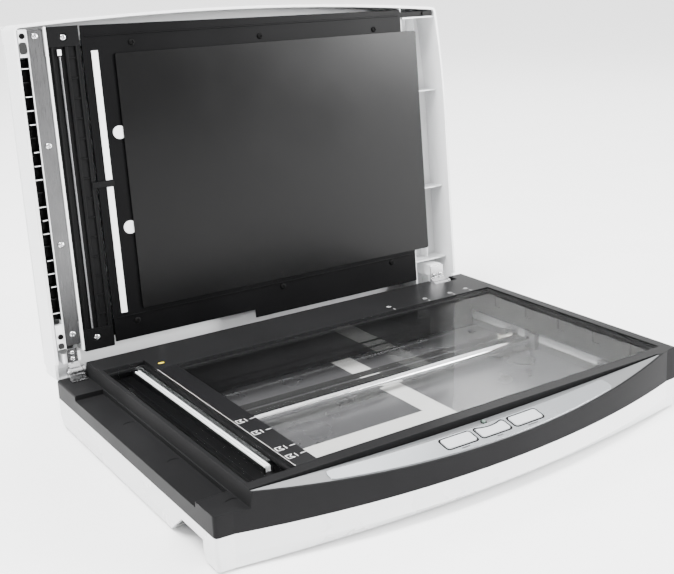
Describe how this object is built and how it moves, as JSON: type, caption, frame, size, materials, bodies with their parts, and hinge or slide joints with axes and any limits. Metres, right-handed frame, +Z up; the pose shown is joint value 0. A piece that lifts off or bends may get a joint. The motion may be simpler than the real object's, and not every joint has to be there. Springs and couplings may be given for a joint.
{
  "type": "flatbed scanner with document feeder",
  "caption": "Flatbed document scanner with its lid standing open: glass bed, moving lamp carriage, bowed button panel, and a sheet feeder built into the hinged lid.",
  "frame": {"origin": "on the table, under the middle of the whole scanner's bounding box with the lid open", "axes": "+X to the operator's right along the hinge line and the carriage's travel, -Y towards the operator, +Z up"},
  "size_m": [0.411, 0.3874, 0.3274],
  "materials": {
    "housing_grey": "satin moulded",
    "charcoal": "satin moulded",
    "panel_grey": "satin",
    "silver_label": "satin metallic film",
    "lens_green": "clear",
    "board_green": "solder mask",
    "glass": "polished",
    "bright_steel": "ground",
    "belt_black": "matt",
    "zinc": "zinc plated",
    "black_plastic": "satin",
    "cable_grey": "matt",
    "rubber": "matt",
    "lamp_white": "frosted",
    "mirror": "polished",
    "bronze": "sintered",
    "lid_white": "satin moulded",
    "mat_grey": "fine matt film on foam",
    "brushed_steel": "brushed",
    "white_film": "smooth",
    "nylon": "moulded",
    "button_grey": "satin",
    "tray_grey": "satin moulded",
    "roller_rubber": "ground"
  },
  "bodies": {
    "base": {"lower_housing": "housing_grey", "top_frame": "charcoal", "control_panel": "panel_grey", "panel_label": "silver_label", "status_lens": "lens_green", "button_board": "board_green", "main_glass": "glass", "feeder_glass": "glass", "guide_rod": "bright_steel", "front_rail": "housing_grey", "scan_belt": "belt_black", "scan_motor": "zinc", "idler_bracket": "zinc", "main_board": "board_green", "dc_jack": "black_plastic", "usb_port": "zinc", "switch_housing": "black_plastic", "flat_cable": "cable_grey", "rubber_feet": "rubber", "housing_screws": "zinc", "hinge_brackets": "zinc", "hinge_pins": "bright_steel"},
    "carriage": {"carriage_body": "black_plastic", "carriage_cover": "black_plastic", "lamp_bars": "lamp_white", "mirrors": "mirror", "scan_lens": "black_plastic", "sensor_board": "board_green", "carriage_bushes": "bronze"},
    "lid": {"lid_shell": "lid_white", "lid_liner": "black_plastic", "document_mat": "mat_grey", "feeder_frame": "lid_white", "exit_slot_back": "black_plastic", "steel_plate": "brushed_steel", "reading_guide": "black_plastic", "guide_shaft": "bright_steel", "white_strip": "white_film", "contact_discs": "lid_white", "lid_bumpers": "rubber", "liner_screws": "black_plastic", "lid_screws": "zinc", "hinge_leaves": "zinc", "feeder_side_plates": "black_plastic", "feed_ramp": "black_plastic", "separation_pad": "rubber"},
    "drive_pulley": {"drive_pulley": "nylon"},
    "idler_pulley": {"idler_pulley": "nylon"},
    "scan_button": {"scan_button": "button_grey"},
    "file_button": {"file_button": "button_grey"},
    "copy_button": {"copy_button": "button_grey"},
    "power_rocker": {"power_rocker": "black_plastic"},
    "feeder_cover": {"feeder_cover": "lid_white"},
    "input_tray": {"input_tray": "tray_grey"},
    "tray_extension": {"tray_extension": "tray_grey"},
    "front_paper_guide": {"front_paper_guide": "charcoal"},
    "rear_paper_guide": {"rear_paper_guide": "charcoal"},
    "pick_roller": {"pick_roller": "roller_rubber"},
    "feed_roller": {"feed_roller": "roller_rubber"},
    "exit_roller": {"exit_roller": "roller_rubber"}
  },
  "joints": [
    {"name": "carriage_slide", "type": "slide", "parent": "base", "child": "carriage", "axis": [1, 0, 0], "range_m": [0, 0.32]},
    {"name": "drive_pulley_spin", "type": "hinge", "parent": "base", "child": "drive_pulley", "pos_m": [-0.1905, 0.0313, 0.011], "axis": [0, 0, 1], "range_deg": [0, 3056]},
    {"name": "idler_pulley_spin", "type": "hinge", "parent": "base", "child": "idler_pulley", "pos_m": [0.189, 0.0313, 0.011], "axis": [0, 0, 1], "range_deg": [0, 3056]},
    {"name": "scan_button_press", "type": "slide", "parent": "base", "child": "scan_button", "axis": [0, 0, -1], "range_m": [0, 0.0008], "stiffness_N_per_m": 600, "springref_m": -0.001},
    {"name": "file_button_press", "type": "slide", "parent": "base", "child": "file_button", "axis": [0, 0, -1], "range_m": [0, 0.0008], "stiffness_N_per_m": 600, "springref_m": -0.001},
    {"name": "copy_button_press", "type": "slide", "parent": "base", "child": "copy_button", "axis": [0, 0, -1], "range_m": [0, 0.0008], "stiffness_N_per_m": 600, "springref_m": -0.001},
    {"name": "power_rocker_tilt", "type": "hinge", "parent": "base", "child": "power_rocker", "pos_m": [0.11, 0.1191, 0.0143], "axis": [0, 0, -1], "range_deg": [0, 12]},
    {"name": "lid_hinge", "type": "hinge", "parent": "base", "child": "lid", "pos_m": [0, 0.1153, 0.0467], "axis": [1, 0, 0], "range_deg": [0, 93.3]},
    {"name": "feeder_cover_hinge", "type": "hinge", "parent": "lid", "child": "feeder_cover", "pos_m": [-0.2025, 0.16348, 0.18215], "axis": [0, 0.0576, 0.9983], "range_deg": [0, 60]},
    {"name": "input_tray_hinge", "type": "hinge", "parent": "lid", "child": "input_tray", "pos_m": [-0.095, 0.16336, 0.18016], "axis": [0, 0.0576, 0.9983], "range_deg": [0, 28]},
    {"name": "tray_extension_slide", "type": "slide", "parent": "input_tray", "child": "tray_extension", "axis": [1, 0, 0], "range_m": [0, 0.06]},
    {"name": "front_guide_slide", "type": "slide", "parent": "input_tray", "child": "front_paper_guide", "axis": [0, -0.0576, -0.9983], "range_m": [0, 0.08]},
    {"name": "rear_guide_slide", "type": "slide", "parent": "input_tray", "child": "rear_paper_guide", "axis": [0, -0.0576, -0.9983], "range_m": [-0.08, 0]},
    {"name": "feed_roller_spin", "type": "hinge", "parent": "lid", "child": "feed_roller", "pos_m": [-0.137, 0.15549, 0.18261], "axis": [0, 0.0576, 0.9983], "continuous": true},
    {"name": "pick_roller_spin", "type": "hinge", "parent": "lid", "child": "pick_roller", "pos_m": [-0.111, 0.17236, 0.18164], "axis": [0, 0.0576, 0.9983], "continuous": true},
    {"name": "exit_roller_spin", "type": "hinge", "parent": "lid", "child": "exit_roller", "pos_m": [-0.1884, 0.14022, 0.18349], "axis": [0, 0.0576, 0.9983], "continuous": true}
  ],
  "couplings": [
    {"joint": "drive_pulley_spin", "follows": "carriage_slide", "rad_per_m": 166.67},
    {"joint": "idler_pulley_spin", "follows": "carriage_slide", "rad_per_m": 166.67},
    {"joint": "rear_guide_slide", "follows": "front_guide_slide", "ratio": -1},
    {"joint": "pick_roller_spin", "follows": "feed_roller_spin", "ratio": 1},
    {"joint": "exit_roller_spin", "follows": "feed_roller_spin", "ratio": 1.6}
  ]
}
